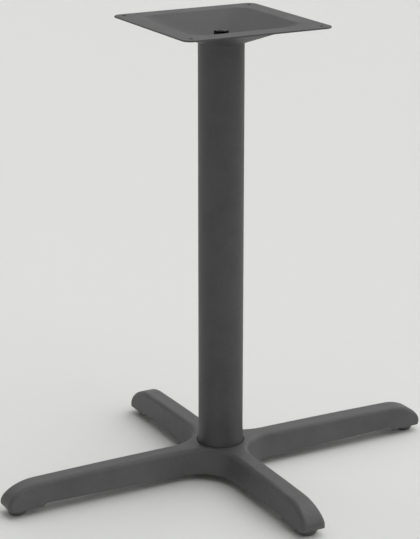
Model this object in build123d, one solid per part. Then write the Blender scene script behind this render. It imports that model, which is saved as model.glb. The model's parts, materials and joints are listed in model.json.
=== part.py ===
from build123d import *
from math import cos, pi, tan, radians
import os

# Bar table base: a cast cross foot, a tube column, a pressed square top plate, a tie rod that clamps
# the three together, and a screw-in glide under each nose of the cross.
# Millimetres, Z up. The origin is on the floor under the column's axis, X runs along the longer arms.

# Overall sizes
base_height = 720.0          # floor to the top face of the plate
long_reach = 371.0           # column axis to the nose of a long arm
short_reach = 288.0          # column axis to the nose of a short arm

# Cross foot, outside
pad_clearance = 11.5         # floor to the pad under each nose
pad_length = 55.0            # nose to the inner end of that pad
pad_step = 4.5               # the arm's rim is this much higher where the pad begins
pad_slope_length = 6.0       # length of the slope between pad and rim
hub_rim_step = 0.5           # under the hub the rim is this much higher than the pads
arm_foot_width = 43.0        # width across the drafted sides at the level of the pads
arm_height = 39.5            # pad level to the flat top round the hub
arm_draft = 9.8              # degrees, how far the sides lean in
arm_fall = 2.5               # the top falls this much from the hub to the nose
nose_length = 52.0           # length of the down-turned end
toe_height = 6.0             # slanting lower end of the nose, above the pad
toe_depth = 3.0              # the pad starts this far behind the nose
nose_fullness = 0.5          # how far the end follows its straight runs, from 0 to 1
crotch_radius = 58.0         # plan radius between two arms, at the level of the pads
edge_radius = 7.0            # round along the top edges

# Cross foot, inside
arm_wall = 5.0               # side wall
roof_wall = 5.5              # wall under the top at the nose end
solid_end_length = 48.0      # nose to the end of the hollow
hollow_end_radius = 9.0      # plan round at the ends of the hollow, at the level of the pads
hollow_edge_radius = 3.0     # round along the roof of the hollow
boss_radius = 21.0           # boss round the tie rod
boss_drop = 17.0             # boss below the roof of the hollow

# Hub seat
seat_depth = 3.0             # the column's foot stands this deep in the hub's flat top
seat_clearance = 0.8         # radial room round the column's foot

# Column
column_radius = 35.0
column_wall = 2.0
flare_growth = 2.2           # the foot of the tube is this much larger in radius
flare_length = 28.0
foot_edge_radius = 0.9       # round on the outside of the foot's end

# Top plate
plate_side = 245.0
plate_corner_radius = 15.0
plate_thickness = 2.5
plate_border = 30.0          # flat border round the dish
dish_corner_radius = 26.0
dish_depth = 27.0            # top face of the border to the floor inside the dish
dish_floor_radius = 40.0     # outside of the dish where it stands on the column
dish_floor_flat = 4.0        # straight run left on each side of that floor
border_bend_radius = 6.0     # inside of the bend between border and dish
floor_bend_radius = 3.0      # inside of the bend between dish and floor
rim_edge_radius = 1.0        # round on the plate's outer edges
screw_hole_radius = 3.5
screw_hole_inset = 15.0      # plate edge to the hole's centre

# Collar that centres the plate in the tube
collar_wall = 3.0
collar_height = 14.0
collar_clearance = 0.25

# Tie rod, nuts and washers
rod_radius = 6.0
rod_clearance = 0.5          # radial room in the holes that the rod passes through
rod_stand_out = 0.5          # rod past each nut
rod_end_chamfer = 1.0
thread_clearance = 0.05      # radial room between a screw and its thread
nut_width = 19.0             # across flats
nut_height = 10.8
nut_turn = 30.0              # degrees, so that flats face along the long arms
nut_chamfer_angle = 30.0
nut_sides = 6
washer_radius = 15.0
washer_thickness = 2.5

# Glides
glide_inset = 21.0           # nose to the glide's axis
glide_radius = 14.5
glide_shoulder = 4.0         # straight rim at the top of the foot
glide_shoulder_radius = 1.2  # round on that rim
glide_rest_radius = 10.0     # flat that stands on the floor
glide_gap = 0.3              # pad to the foot, screwed home
stem_radius = 4.0
stem_length = 20.0           # stem above the foot
stem_end_chamfer = 0.8
stem_hole_spare = 3.0        # hole past the end of the stem
stem_disc_radius = 8.0       # disc moulded into the foot
stem_disc_thickness = 2.5
stem_disc_cover = 3.0        # foot material under the disc
moulding_clearance = 0.05    # between the stem and the foot moulded round it

# Levels and widths worked out from those sizes
rim_level = pad_clearance + pad_step
hub_rim_level = pad_clearance + hub_rim_step
hub_level = pad_clearance + arm_height
nose_level = hub_level - arm_fall
toe_level = pad_clearance + toe_height
column_foot_level = hub_level - seat_depth
dish_floor_level = base_height - dish_depth
border_level = base_height - plate_thickness
column_top_level = dish_floor_level - plate_thickness
hollow_roof_level = nose_level - roof_wall
boss_level = hollow_roof_level - boss_drop
foot_top_level = pad_clearance - glide_gap
arm_half_width = arm_foot_width / 2
hub_flat = arm_half_width + crotch_radius
flare_radius = column_radius + flare_growth
seat_radius = flare_radius + seat_clearance
dish_side = plate_side - 2 * plate_border
rod_hole_radius = rod_radius + rod_clearance
top_nut_level = dish_floor_level + washer_thickness
base_washer_level = boss_level - washer_thickness
base_nut_level = base_washer_level - nut_height
level_tolerance = 0.01       # edges this close to a level count as lying on it
steepest_roof = 0.5          # a face whose normal rises more than this belongs to the top of the arms


def disc(radius, low, high):
    return Pos(0, 0, low) * extrude(Circle(radius), amount=high - low)


def turned(section):
    # a half section drawn in X and Z, turned about the upright axis
    return revolve(Plane.XZ * section, Axis.Z)


def arm_plan(half_width, blend, long_end, short_end):
    # the cross seen from above, with a round in each of its four inner corners
    cross = Rectangle(2 * long_end, 2 * half_width) + Rectangle(2 * half_width, 2 * short_end)
    inner = [v for v in cross.vertices() if max(abs(v.X), abs(v.Y)) < half_width + blend]
    return fillet(inner, blend)


def arm_side(reach):
    # one pair of arms seen from the side: flat over the hub, then a slow fall, the rounded nose and its toe
    nose_start = reach - nose_length
    pad_end = reach - pad_length
    flat = Line((0, hub_level), (hub_flat, hub_level))
    fall = TangentArc((hub_flat, hub_level), (nose_start, nose_level), tangent=(1, 0))
    slope = fall % 1
    along = nose_length * nose_fullness
    nose = Bezier(
        (nose_start, nose_level),
        (nose_start + slope.X * along, nose_level + slope.Y * along),
        (reach, toe_level + (nose_level - toe_level) * nose_fullness),
        (reach, toe_level),
    )
    under = Polyline(
        (reach, toe_level),
        (reach - toe_depth, pad_clearance),
        (pad_end, pad_clearance),
        (pad_end - pad_slope_length, rim_level),
        (hub_flat, hub_rim_level),
        (0, hub_rim_level),
        (0, hub_level),
    )
    half = make_face([flat, fall, nose, under])
    return half + mirror(half, about=Plane.YZ)


def cross_outside():
    # drafted cross, cut to the side views of both pairs of arms, with its top edges rounded:
    # those of the roof, except the straight ones across each nose where the toe begins
    plan = arm_plan(arm_half_width, crotch_radius, long_reach + nose_length, short_reach + nose_length)
    drafted = extrude(Pos(0, 0, pad_clearance) * plan, amount=arm_height + edge_radius, taper=arm_draft)
    long_arms = extrude(Plane.XZ * arm_side(long_reach), amount=hub_flat, both=True)
    short_arms = extrude(Plane.YZ * arm_side(short_reach), amount=hub_flat, both=True)
    body = drafted & (long_arms + short_arms)
    roofs = [face for face in body.faces() if face.normal_at().Z > steepest_roof]
    roof_edges = [edge for face in roofs for edge in face.edges()]
    outline = [
        edge for edge in roof_edges
        if sum(edge.is_same(other) for other in roof_edges) == 1 and edge.geom_type != GeomType.LINE
    ]
    return fillet(outline, edge_radius)


def cross_hollow():
    # the space under the arms and the hub, round the boss for the tie rod
    plan = arm_plan(
        arm_half_width - arm_wall,
        crotch_radius + arm_wall,
        long_reach - solid_end_length,
        short_reach - solid_end_length,
    )
    end_corners = [v for v in plan.vertices() if max(abs(v.X), abs(v.Y)) > hub_flat + hollow_end_radius]
    plan = fillet(end_corners, hollow_end_radius)
    depth = hollow_roof_level - pad_clearance
    hollow = extrude(Pos(0, 0, pad_clearance) * plan, amount=depth, taper=arm_draft)
    hollow = fillet(hollow.faces().sort_by(Axis.Z)[-1].edges(), hollow_edge_radius)
    return hollow - disc(boss_radius, boss_level, hollow_roof_level)


def glide_places():
    long_glide = long_reach - glide_inset
    short_glide = short_reach - glide_inset
    return [(long_glide, 0), (0, short_glide), (-long_glide, 0), (0, -short_glide)]


def make_cross_foot():
    casting = cross_outside() - cross_hollow()
    casting -= disc(seat_radius, column_foot_level, hub_level)
    casting -= disc(rod_hole_radius, pad_clearance, hub_level)
    hole_top = foot_top_level + stem_length + stem_hole_spare
    stem_hole = disc(stem_radius + thread_clearance, pad_clearance, hole_top)
    for x, y in glide_places():
        casting -= Pos(x, y, 0) * stem_hole
    return casting


def make_column():
    # a straight tube whose foot opens out on a slow curve
    inner_radius = column_radius - column_wall
    inner_flare = flare_radius - column_wall
    flare_top = column_foot_level + flare_length
    section = make_face([
        TangentArc((column_radius, flare_top), (flare_radius, column_foot_level), tangent=(0, -1)),
        Line((flare_radius, column_foot_level), (inner_flare, column_foot_level)),
        TangentArc((inner_radius, flare_top), (inner_flare, column_foot_level), tangent=(0, -1)),
        Line((inner_radius, flare_top), (inner_radius, column_top_level)),
        Line((inner_radius, column_top_level), (column_radius, column_top_level)),
        Line((column_radius, column_top_level), (column_radius, flare_top)),
    ])
    outer_foot = section.vertices().sort_by(Axis.X)[-1]
    return turned(fillet(outer_foot, foot_edge_radius))


def edges_at(solid, level, reach):
    # the edges that lie flat at one level, no further out than the given reach
    flat = [edge for edge in solid.edges() if edge.bounding_box().size.Z < level_tolerance]
    level_edges = [edge for edge in flat if abs(edge.center().Z - level) < level_tolerance]
    return [edge for edge in level_edges if max(abs(edge.center().X), abs(edge.center().Y)) < reach]


def make_top_plate():
    # flat border and dish as one solid, less the same dish moved up by the sheet's thickness
    mouth = Pos(0, 0, border_level) * RectangleRounded(dish_side, dish_side, dish_corner_radius)
    floor_side = 2 * dish_floor_radius
    floor_corner = dish_floor_radius - dish_floor_flat / 2
    floor = Pos(0, 0, column_top_level) * RectangleRounded(floor_side, floor_side, floor_corner)
    dish = loft([floor, mouth], ruled=True)
    hollow = Pos(0, 0, plate_thickness) * dish
    hollow = fillet(edges_at(hollow, dish_floor_level, plate_side), floor_bend_radius)
    outline = RectangleRounded(plate_side, plate_side, plate_corner_radius)
    border = extrude(Pos(0, 0, border_level) * outline, amount=plate_thickness)
    rim = edges_at(border, border_level, plate_side) + edges_at(border, base_height, plate_side)
    plate = fillet(rim, rim_edge_radius) + dish
    bend_reach = (dish_side + plate_side) / 4
    plate = fillet(edges_at(plate, border_level, bend_reach), border_bend_radius)
    plate = fillet(edges_at(plate, column_top_level, plate_side), floor_bend_radius + plate_thickness)
    plate -= hollow
    plate = fillet(edges_at(plate, base_height, bend_reach), border_bend_radius + plate_thickness)
    hole_spacing = plate_side - 2 * screw_hole_inset
    for spot in GridLocations(hole_spacing, hole_spacing, 2, 2):
        plate -= spot * disc(screw_hole_radius, border_level, base_height)
    return plate - disc(rod_hole_radius, column_top_level, dish_floor_level)


def make_plate_collar():
    outer_radius = column_radius - column_wall - collar_clearance
    low = column_top_level - collar_height
    return disc(outer_radius, low, column_top_level) - disc(outer_radius - collar_wall, low, column_top_level)


def make_washer(level):
    high = level + washer_thickness
    return disc(washer_radius, level, high) - disc(rod_hole_radius, level, high)


def make_nut(level):
    # a hexagon whose corners are turned off at both ends
    flat_radius = nut_width / 2
    corner_radius = flat_radius / cos(pi / nut_sides)
    corner_drop = (corner_radius - flat_radius) * tan(radians(nut_chamfer_angle))
    high = level + nut_height
    blank = Polyline(
        (0, level),
        (flat_radius, level),
        (corner_radius, level + corner_drop),
        (corner_radius, high - corner_drop),
        (flat_radius, high),
        (0, high),
        close=True,
    )
    hexagon = RegularPolygon(flat_radius, nut_sides, major_radius=False, rotation=nut_turn)
    nut = turned(make_face(blank)) & Pos(0, 0, level) * extrude(hexagon, amount=nut_height)
    return nut - disc(rod_radius + thread_clearance, level, high)


def make_tie_rod():
    rod = disc(rod_radius, base_nut_level - rod_stand_out, top_nut_level + nut_height + rod_stand_out)
    return chamfer(rod.edges().filter_by(GeomType.CIRCLE), rod_end_chamfer)


def stem_shape(spare):
    # screw stem with its disc, made larger all round by the spare for the space it takes in the foot
    low = stem_disc_cover - spare
    stem = disc(stem_radius + spare, low, foot_top_level + stem_length)
    return stem + disc(stem_disc_radius + spare, low, stem_disc_cover + stem_disc_thickness + spare)


def make_glide_stem():
    stem = stem_shape(0)
    return chamfer(stem.edges().filter_by(GeomType.CIRCLE).sort_by(Axis.Z)[-1], stem_end_chamfer)


def make_glide_foot():
    # domed foot with a flat rest, moulded round the stem's disc
    shoulder_level = foot_top_level - glide_shoulder
    section = make_face([
        Line((0, 0), (glide_rest_radius, 0)),
        TangentArc((glide_radius, shoulder_level), (glide_rest_radius, 0), tangent=(0, -1)),
        Line((glide_radius, shoulder_level), (glide_radius, foot_top_level)),
        Line((glide_radius, foot_top_level), (0, foot_top_level)),
        Line((0, foot_top_level), (0, 0)),
    ])
    top_corner = section.vertices().group_by(Axis.Y)[-1].sort_by(Axis.X)[-1]
    return turned(fillet(top_corner, glide_shoulder_radius)) - stem_shape(moulding_clearance)


nodes = {
    "cross_foot": make_cross_foot(),
    "column": make_column(),
    "top_plate": make_top_plate(),
    "plate_collar": make_plate_collar(),
    "tie_rod": make_tie_rod(),
    "top_washer": make_washer(dish_floor_level),
    "top_nut": make_nut(top_nut_level),
    "base_washer": make_washer(base_washer_level),
    "base_nut": make_nut(base_nut_level),
}
for number, (x, y) in enumerate(glide_places(), start=1):
    nodes[f"glide_stem_{number}"] = Pos(x, y, 0) * make_glide_stem()
    nodes[f"glide_foot_{number}"] = Pos(x, y, 0) * make_glide_foot()

os.makedirs("parts", exist_ok=True)
for name, solid in nodes.items():
    export_step(solid, f"parts/{name}.step")
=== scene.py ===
import bpy
import json
import math
import numpy as np
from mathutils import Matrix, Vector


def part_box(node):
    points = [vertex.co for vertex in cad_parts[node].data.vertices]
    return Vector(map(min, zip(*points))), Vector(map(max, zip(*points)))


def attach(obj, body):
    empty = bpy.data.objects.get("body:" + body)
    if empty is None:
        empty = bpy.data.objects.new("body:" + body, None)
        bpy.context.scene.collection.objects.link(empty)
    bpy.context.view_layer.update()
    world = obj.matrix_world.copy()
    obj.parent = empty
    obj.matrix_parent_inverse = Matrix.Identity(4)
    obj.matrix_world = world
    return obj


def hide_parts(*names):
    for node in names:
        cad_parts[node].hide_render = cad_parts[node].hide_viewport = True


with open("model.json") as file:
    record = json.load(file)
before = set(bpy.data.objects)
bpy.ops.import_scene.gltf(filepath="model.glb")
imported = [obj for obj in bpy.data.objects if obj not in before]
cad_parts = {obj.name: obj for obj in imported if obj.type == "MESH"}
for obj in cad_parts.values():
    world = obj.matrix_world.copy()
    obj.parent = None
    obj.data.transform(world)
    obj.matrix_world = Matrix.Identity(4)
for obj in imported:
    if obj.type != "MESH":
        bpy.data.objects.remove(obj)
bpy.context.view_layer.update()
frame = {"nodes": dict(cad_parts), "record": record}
mm = 0.001


def linear(code):
    # "#rrggbb" in sRGB to linear red, green, blue, alpha
    parts = [int(code[i:i + 2], 16) / 255 for i in (1, 3, 5)]
    return [c / 12.92 if c <= 0.04045 else ((c + 0.055) / 1.055) ** 2.4 for c in parts] + [1.0]


def sized(featureMm, layers):
    # pattern settings for features of about that many millimetres, with so many finer layers on them
    return {"Scale": 1 / (featureMm * mm), "Detail": layers}


def addNode(tree, kind, values=None, links=None, stops=(), **settings):
    # one node: settings are its own fields, values go on its sockets, links feed its sockets, and stops
    # are the places and hex colours along a ramp, which starts with two
    node = tree.nodes.new(kind)
    for name, value in settings.items():
        setattr(node, name, value)
    for socket, value in (values or {}).items():
        node.inputs[socket].default_value = value
    for socket, source in (links or {}).items():
        tree.links.new(source, node.inputs[socket])
    for number, (position, code) in enumerate(stops):
        node.color_ramp.elements[number].position = position
        node.color_ramp.elements[number].color = linear(code)
    return node


def newMaterial(name, values):
    # a material with only a Principled shader, and the Object coordinates that its patterns read
    material = bpy.data.materials.new(name)
    material.use_nodes = True
    tree = material.node_tree
    tree.nodes.clear()
    shader = addNode(tree, "ShaderNodeBsdfPrincipled", values)
    addNode(tree, "ShaderNodeOutputMaterial", links={"Surface": shader.outputs["BSDF"]})
    place = addNode(tree, "ShaderNodeTexCoord").outputs["Object"]
    return material, tree, shader, place


def wireFinish(tree, shader, colour, rough, skin):
    # colour, roughness and relief go into the shader
    tree.links.new(colour.outputs["Color"], shader.inputs["Base Color"])
    tree.links.new(rough.outputs["Result"], shader.inputs["Roughness"])
    tree.links.new(skin.outputs["Normal"], shader.inputs["Normal"])


# In the finishes below, a pattern is a size in millimetres and its finer layers, tones are colours at two
# places between the pattern's low and high, and a value that ends in High is a height in millimetres.
noiseSpan = {"From Min": 0.3, "From Max": 0.7}  # nearly all of a noise pattern lies between these

# Polyester powder coat, sprayed dry and baked: a dark satin skin with a soft orange peel, fine specks and
# a faint cloudiness. Real orange peel is 1 to 2 mm from hill to hill and the specks are under 1 mm, so
# both are drawn coarser, and the peel higher, to show.
coat = {"ior": 1.5, "cloud": (60.0, 4), "speck": (2.0, 2), "speckShare": 0.6, "peel": (3.0, 2),
        "peelHigh": 0.14, "smooth": 0.42, "dull": 0.55}

# What lies under the coat. Rolled steel is smooth. The casting keeps the skin of the sand mould, grains
# that the coat half fills and slow swells, each with its height. The same powder is painted paler on the casting:
# painted light that stands in for the brighter light on the foot.
rolledSkin = {"tones": ((0.60, "#3b3b3c"), (1.00, "#484849")), "hills": ()}
# painted light: the casting's tones are paler than the steel's, though both wear the same powder
castSkinPaintedPaler = {"tones": ((0.60, "#4e4e4f"), (1.00, "#5b5b5c")), "hills": (((5.0, 3), 0.40), ((26.0, 3), 0.9))}


def powderCoat(name, under):
    material, tree, shader, place = newMaterial(name, {"IOR": coat["ior"]})
    cloud = addNode(tree, "ShaderNodeTexNoise", sized(*coat["cloud"]), {"Vector": place})
    speck = addNode(tree, "ShaderNodeTexNoise", sized(*coat["speck"]), {"Vector": place})
    peel = addNode(tree, "ShaderNodeTexNoise", sized(*coat["peel"]), {"Vector": place})
    mottle = addNode(tree, "ShaderNodeMath", {1: coat["speckShare"]},
                     {0: speck.outputs["Fac"], 2: cloud.outputs["Fac"]}, operation="MULTIPLY_ADD")
    colour = addNode(tree, "ShaderNodeValToRGB", links={"Fac": mottle.outputs[0]}, stops=under["tones"])
    rough = addNode(tree, "ShaderNodeMapRange", {**noiseSpan, "To Min": coat["smooth"], "To Max": coat["dull"]},
                    {"Value": cloud.outputs["Fac"]})
    skin = addNode(tree, "ShaderNodeBump", {"Distance": coat["peelHigh"] * mm}, {"Height": peel.outputs["Fac"]})
    for pattern, high in under["hills"]:
        hill = addNode(tree, "ShaderNodeTexNoise", sized(*pattern), {"Vector": place})
        skin = addNode(tree, "ShaderNodeBump", {"Distance": high * mm},
                       {"Height": hill.outputs["Fac"], "Normal": skin.outputs["Normal"]})
    wireFinish(tree, shader, colour, rough, skin)
    return material


# Black oxide on turned steel, oiled: almost black, with a sharp glint on the edges and rubbed patches.
# Real tool marks are about 0.2 mm apart, drawn coarser so that they show.
oxide = {"tones": ((0.45, "#1b1b1c"), (0.75, "#3c3b3a")), "patch": (7.0, 5), "mark": (0.9, 2),
         "markHigh": 0.03, "smooth": 0.28, "dull": 0.48}


def blackenedSteel():
    material, tree, shader, place = newMaterial("blackenedSteel", {"Metallic": 1.0})
    patch = addNode(tree, "ShaderNodeTexNoise", sized(*oxide["patch"]), {"Vector": place})
    mark = addNode(tree, "ShaderNodeTexNoise", sized(*oxide["mark"]), {"Vector": place})
    colour = addNode(tree, "ShaderNodeValToRGB", links={"Fac": patch.outputs["Fac"]}, stops=oxide["tones"])
    rough = addNode(tree, "ShaderNodeMapRange", {**noiseSpan, "To Min": oxide["smooth"], "To Max": oxide["dull"]},
                    {"Value": patch.outputs["Fac"]})
    skin = addNode(tree, "ShaderNodeBump", {"Distance": oxide["markHigh"] * mm}, {"Height": mark.outputs["Fac"]})
    wireFinish(tree, shader, colour, rough, skin)
    return material


# Zinc plate on a rolled thread: pale grey and dull, with fine crystals and darker blooms. Real crystals
# are far under 1 mm, drawn coarser so that they show.
zinc = {"tones": ((0.35, "#94979a"), (0.65, "#b8babb")), "bloom": (6.0, 4), "crystal": (1.4, 0),
        "crystalHigh": 0.02, "smooth": 0.30, "dull": 0.50}


def zincPlate():
    material, tree, shader, place = newMaterial("zincPlatedSteel", {"Metallic": 1.0})
    bloom = addNode(tree, "ShaderNodeTexNoise", sized(*zinc["bloom"]), {"Vector": place})
    crystal = addNode(tree, "ShaderNodeTexVoronoi", sized(*zinc["crystal"]), {"Vector": place})
    colour = addNode(tree, "ShaderNodeValToRGB", links={"Fac": bloom.outputs["Fac"]}, stops=zinc["tones"])
    rough = addNode(tree, "ShaderNodeMapRange", {**noiseSpan, "To Min": zinc["dull"], "To Max": zinc["smooth"]},
                    {"Value": bloom.outputs["Fac"]})
    skin = addNode(tree, "ShaderNodeBump", {"Distance": zinc["crystalHigh"] * mm},
                   {"Height": crystal.outputs["Distance"]})
    wireFinish(tree, shader, colour, rough, skin)
    return material


# Nylon moulded in a spark-eroded tool: a dull even grain, with pale scuffs low down where it slides on
# the floor. The real grain is about 0.2 mm, drawn coarser so that it shows.
nylon = {"ior": 1.53, "tones": ((0.35, "#4b4b4c"), (0.70, "#565657")), "grain": (1.2, 2), "grainHigh": 0.05,
         "scuffTone": "#686663", "scuff": (5.0, 5), "scuffedHigh": 4.0, "scuffShare": 0.7,
         "smooth": 0.50, "dull": 0.68}


def mouldedNylon():
    material, tree, shader, place = newMaterial("mouldedNylon", {"IOR": nylon["ior"]})
    grain = addNode(tree, "ShaderNodeTexNoise", sized(*nylon["grain"]), {"Vector": place})
    scuff = addNode(tree, "ShaderNodeTexNoise", sized(*nylon["scuff"]), {"Vector": place})
    height = addNode(tree, "ShaderNodeSeparateXYZ", links={"Vector": place})
    lowDown = addNode(tree, "ShaderNodeMapRange",
                      {"From Max": nylon["scuffedHigh"] * mm, "To Min": nylon["scuffShare"], "To Max": 0.0},
                      {"Value": height.outputs["Z"]})
    worn = addNode(tree, "ShaderNodeMath", links={0: lowDown.outputs["Result"], 1: scuff.outputs["Fac"]},
                   operation="MULTIPLY")
    body = addNode(tree, "ShaderNodeValToRGB", links={"Fac": grain.outputs["Fac"]}, stops=nylon["tones"])
    colour = addNode(tree, "ShaderNodeMixRGB", {"Color2": linear(nylon["scuffTone"])},
                     {"Fac": worn.outputs[0], "Color1": body.outputs["Color"]})
    rough = addNode(tree, "ShaderNodeMapRange", {**noiseSpan, "To Min": nylon["smooth"], "To Max": nylon["dull"]},
                    {"Value": grain.outputs["Fac"]})
    skin = addNode(tree, "ShaderNodeBump", {"Distance": nylon["grainHigh"] * mm}, {"Height": grain.outputs["Fac"]})
    wireFinish(tree, shader, colour, rough, skin)
    return material


finishes = {
    # the casting's coat carries painted light in its paler tones
    "coated_iron": powderCoat("powderCoatOnCastingPaintedPaler", castSkinPaintedPaler),
    "coated_steel": powderCoat("powderCoatOnSteel", rolledSkin),
    "dark_steel": blackenedSteel(),
    "zinc_steel": zincPlate(),
    "black_nylon": mouldedNylon(),
}
for part in frame["record"]["subparts"]:
    for slot in frame["nodes"][part["node"]].material_slots:
        slot.material = finishes[part["material_slot"]]
print("finishes:", ", ".join(finish.name for finish in finishes.values()))


def addObject(name, data):
    # a new object in the scene, at the origin
    thing = bpy.data.objects.new(name, data)
    bpy.context.scene.collection.objects.link(thing)
    return thing


def joinRings(rings, around):
    # each ring's point numbers, and the quads that join each ring to the next, which face outwards where
    # the rings go up
    ids = np.arange(rings * around).reshape(rings, around)
    after = np.roll(ids, -1, axis=1)
    quads = np.stack([ids[:-1], after[:-1], after[1:], ids[1:]], axis=-1).reshape(-1, 4)
    return ids, quads


def addPiece(name, points, slot, body, node):
    # A closed turned surface. points has one row of places for each ring, from the lower end to the
    # upper, and each ring goes once round anticlockwise. Quads join a ring to the next, and a fan of
    # triangles to a point in the middle shuts the first and the last.
    rings, around = points.shape[:2]
    ids, quads = joinRings(rings, around)
    foot, crown = rings * around, rings * around + 1
    footFan = np.stack([np.full(around, foot), np.roll(ids[0], -1), ids[0]], axis=-1)
    crownFan = np.stack([np.full(around, crown), ids[-1], np.roll(ids[-1], -1)], axis=-1)
    places = np.concatenate([points.reshape(-1, 3), points[[0, -1]].mean(axis=1)])
    mesh = bpy.data.meshes.new(name)
    mesh.from_pydata(places.tolist(), [], quads.tolist() + footFan.tolist() + crownFan.tolist())
    mesh.materials.append(finishes[slot])
    piece = addObject(name, mesh)
    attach(piece, body)
    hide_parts(node)


# a metric thread, in shares of its pitch: the groove's depth, and how wide the crest and both flanks are
thread = {"deep": 0.61, "crest": 0.12, "flanks": 0.63}


def threadDepth(turns, pitch):
    # how deep the groove is at that many turns: a V with a flat crest, straight flanks and a flat root
    across = np.abs((turns % 1.0) * 2 - 1)  # 0 in the middle of the crest, 1 in the middle of the root
    return thread["deep"] * pitch * np.clip((across - thread["crest"]) / thread["flanks"], 0, 1)


def screwPoints(centre, rows, radii, threads, pitch, around):
    # A bar of the given radius at each height, with a right-hand groove as deep as threads says, 0 to 1:
    # radius(angle, height) = radii(height) - threads(height) * depth(height / pitch - angle / whole turn).
    angle = np.linspace(0, 2 * math.pi, around, endpoint=False)
    turns = rows[:, None] / pitch - angle[None, :] / (2 * math.pi)
    radius = radii[:, None] - threads[:, None] * threadDepth(turns, pitch)
    return np.stack([
        centre[0] + radius * np.cos(angle),
        centre[1] + radius * np.sin(angle),
        np.broadcast_to(rows[:, None], radius.shape),
    ], axis=-1)


tieRod = {"pitch": 1.75 * mm, "chamfer": 1.0 * mm, "threadLength": 48 * mm, "runOut": 2.0 * mm,
          "rowsPerPitch": 10, "around": 40, "shankRows": 24}


def makeTieRod():
    # a bar that narrows over the chamfer at each end, with a thread from each end that fades into the shank
    low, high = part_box("tie_rod")
    radius = (high[0] - low[0]) / 2
    centre = ((high[0] + low[0]) / 2, (high[1] + low[1]) / 2)
    step = tieRod["pitch"] / tieRod["rowsPerPitch"]
    length = tieRod["threadLength"]
    lowRows = np.arange(low[2], low[2] + length, step)
    highRows = np.arange(high[2], high[2] - length, -step)[::-1]
    shankRows = np.linspace(lowRows[-1] + step, highRows[0] - step, tieRod["shankRows"])
    rows = np.concatenate([lowRows, shankRows, highRows])
    fromEnd = np.minimum(rows - low[2], high[2] - rows)
    radii = radius - np.clip(tieRod["chamfer"] - fromEnd, 0, None)
    threads = np.clip((length - fromEnd) / tieRod["runOut"], 0, 1)
    points = screwPoints(centre, rows, radii, threads, tieRod["pitch"], tieRod["around"])
    addPiece("tieRod", points, "dark_steel", "base", "tie_rod")


glideStem = {"pitch": 1.25 * mm, "radius": 4.0 * mm, "discHigh": 2.5 * mm, "plainHigh": 9.0 * mm,
             "chamfer": 0.8 * mm, "runOut": 1.5 * mm, "rowsPerPitch": 10, "around": 32, "edge": 0.02 * mm}


def makeGlideStem(number):
    # a disc, a plain neck, then a thread that starts over the run-out and ends in a chamfer
    node = "glide_stem_" + str(number)
    low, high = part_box(node)
    centre = ((high[0] + low[0]) / 2, (high[1] + low[1]) / 2)
    discTop = low[2] + glideStem["discHigh"]
    plainTop = low[2] + glideStem["plainHigh"]
    edge = glideStem["edge"]  # close rows keep the corners of the disc sharp
    discRows = [low[2], low[2] + edge, discTop - edge, discTop, discTop + edge]
    stemRows = np.arange(high[2], plainTop, -glideStem["pitch"] / glideStem["rowsPerPitch"])[::-1]
    rows = np.concatenate([discRows, stemRows])
    stemRadii = glideStem["radius"] - np.clip(glideStem["chamfer"] - (high[2] - rows), 0, None)
    radii = np.where(rows <= discTop, (high[0] - low[0]) / 2, stemRadii)
    threads = np.clip((rows - plainTop) / glideStem["runOut"], 0, 1)
    points = screwPoints(centre, rows, radii, threads, glideStem["pitch"], glideStem["around"])
    addPiece("glideStem" + str(number), points, "zinc_steel", "glide_" + str(number), node)


makeTieRod()
for number in (1, 2, 3, 4):
    makeGlideStem(number)
print("threads cut on the tie rod and on four glide stems")

# the floor's sizes are in metres
studio = {
    "floor": "#efefed", "floorDull": 0.8, "floorRadius": 12.0, "coveRadius": 4.0, "coveRings": 12,
    "floorAround": 128, "world": "#f2f2f2", "worldStrength": 0.12,
    # where each soft light comes from, how wide it is in degrees and how strong
    "lights": {"keyLight": ((0.8, -0.45, 1.0), 90, 1.60), "topLight": ((0.0, 0.0, 1.0), 90, 0.35),
               "backLight": ((0.4, 0.8, 0.8), 90, 1.13)},
}


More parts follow.
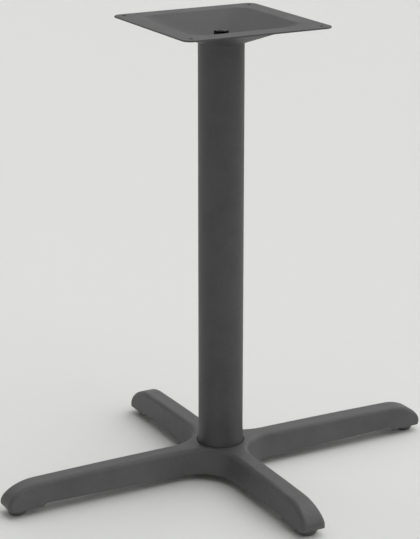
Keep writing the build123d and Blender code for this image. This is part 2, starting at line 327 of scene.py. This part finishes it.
def plainFloor():
    # A round floor that turns up at its rim, so that no horizon shows behind the object: at a turn from 0
    # to a right angle, radius = floor + cove * sin(turn) and height = cove * (1 - cos(turn)).
    turn = np.linspace(0, math.pi / 2, studio["coveRings"])[:, None]
    angle = np.linspace(0, 2 * math.pi, studio["floorAround"], endpoint=False)
    radius = studio["floorRadius"] + studio["coveRadius"] * np.sin(turn)
    height = studio["coveRadius"] * (1 - np.cos(turn))
    across, along = radius * np.cos(angle), radius * np.sin(angle)
    points = np.stack([across, along, np.broadcast_to(height, across.shape)], axis=-1)
    ids, quads = joinRings(turn.size, angle.size)
    mesh = bpy.data.meshes.new("floor")
    # the cove is seen from inside, so its quads are turned round
    mesh.from_pydata(points.reshape(-1, 3).tolist(), [], [ids[0].tolist()] + quads[:, ::-1].tolist())
    mesh.polygons.foreach_set("use_smooth", [True] * len(mesh.polygons))
    values = {"Base Color": linear(studio["floor"]), "Roughness": studio["floorDull"]}
    mesh.materials.append(newMaterial("paleFloor", values)[0])
    addObject("floor", mesh)


def studioLight():
    scene = bpy.context.scene
    scene.view_settings.view_transform = "Standard"
    scene.world = bpy.data.worlds.new("studio")
    scene.world.use_nodes = True
    background = scene.world.node_tree.nodes["Background"]
    background.inputs["Color"].default_value = linear(studio["world"])
    background.inputs["Strength"].default_value = studio["worldStrength"]
    for name, (source, spread, power) in studio["lights"].items():
        lamp = bpy.data.lights.new(name, "SUN")
        lamp.energy = power
        lamp.angle = math.radians(spread)
        lean = math.atan2(math.hypot(source[0], source[1]), source[2])
        turn = math.atan2(source[1], source[0]) + math.pi / 2
        addObject(name, lamp).rotation_euler = (lean, 0, turn)


plainFloor()
studioLight()
print("floor and lights set")

# The photograph's view: where the camera stands, in millimetres, its turn and tilt in radians, its lens in
# the photograph's pixels, and its sensor in millimetres.
view = {"aside": -16.76, "back": 2681.9, "high": 1191.2, "azimuth": 0.4948, "tilt": 0.3095,
        "focalPixels": 1823.8, "tallPixels": 539.0, "sensor": 36.0}


def photoCamera():
    turn = view["azimuth"]
    camera = addObject("camera", bpy.data.cameras.new("camera"))
    camera.location = [
        mm * (view["aside"] * math.cos(turn) - view["back"] * math.sin(turn)),
        mm * (-view["aside"] * math.sin(turn) - view["back"] * math.cos(turn)),
        mm * view["high"],
    ]
    camera.rotation_euler = (math.pi / 2 - view["tilt"], 0, -turn)
    camera.data.sensor_fit = "VERTICAL"
    camera.data.sensor_height = view["sensor"]
    camera.data.lens = view["focalPixels"] / view["tallPixels"] * view["sensor"]
    bpy.context.scene.camera = camera


photoCamera()
print("camera set")
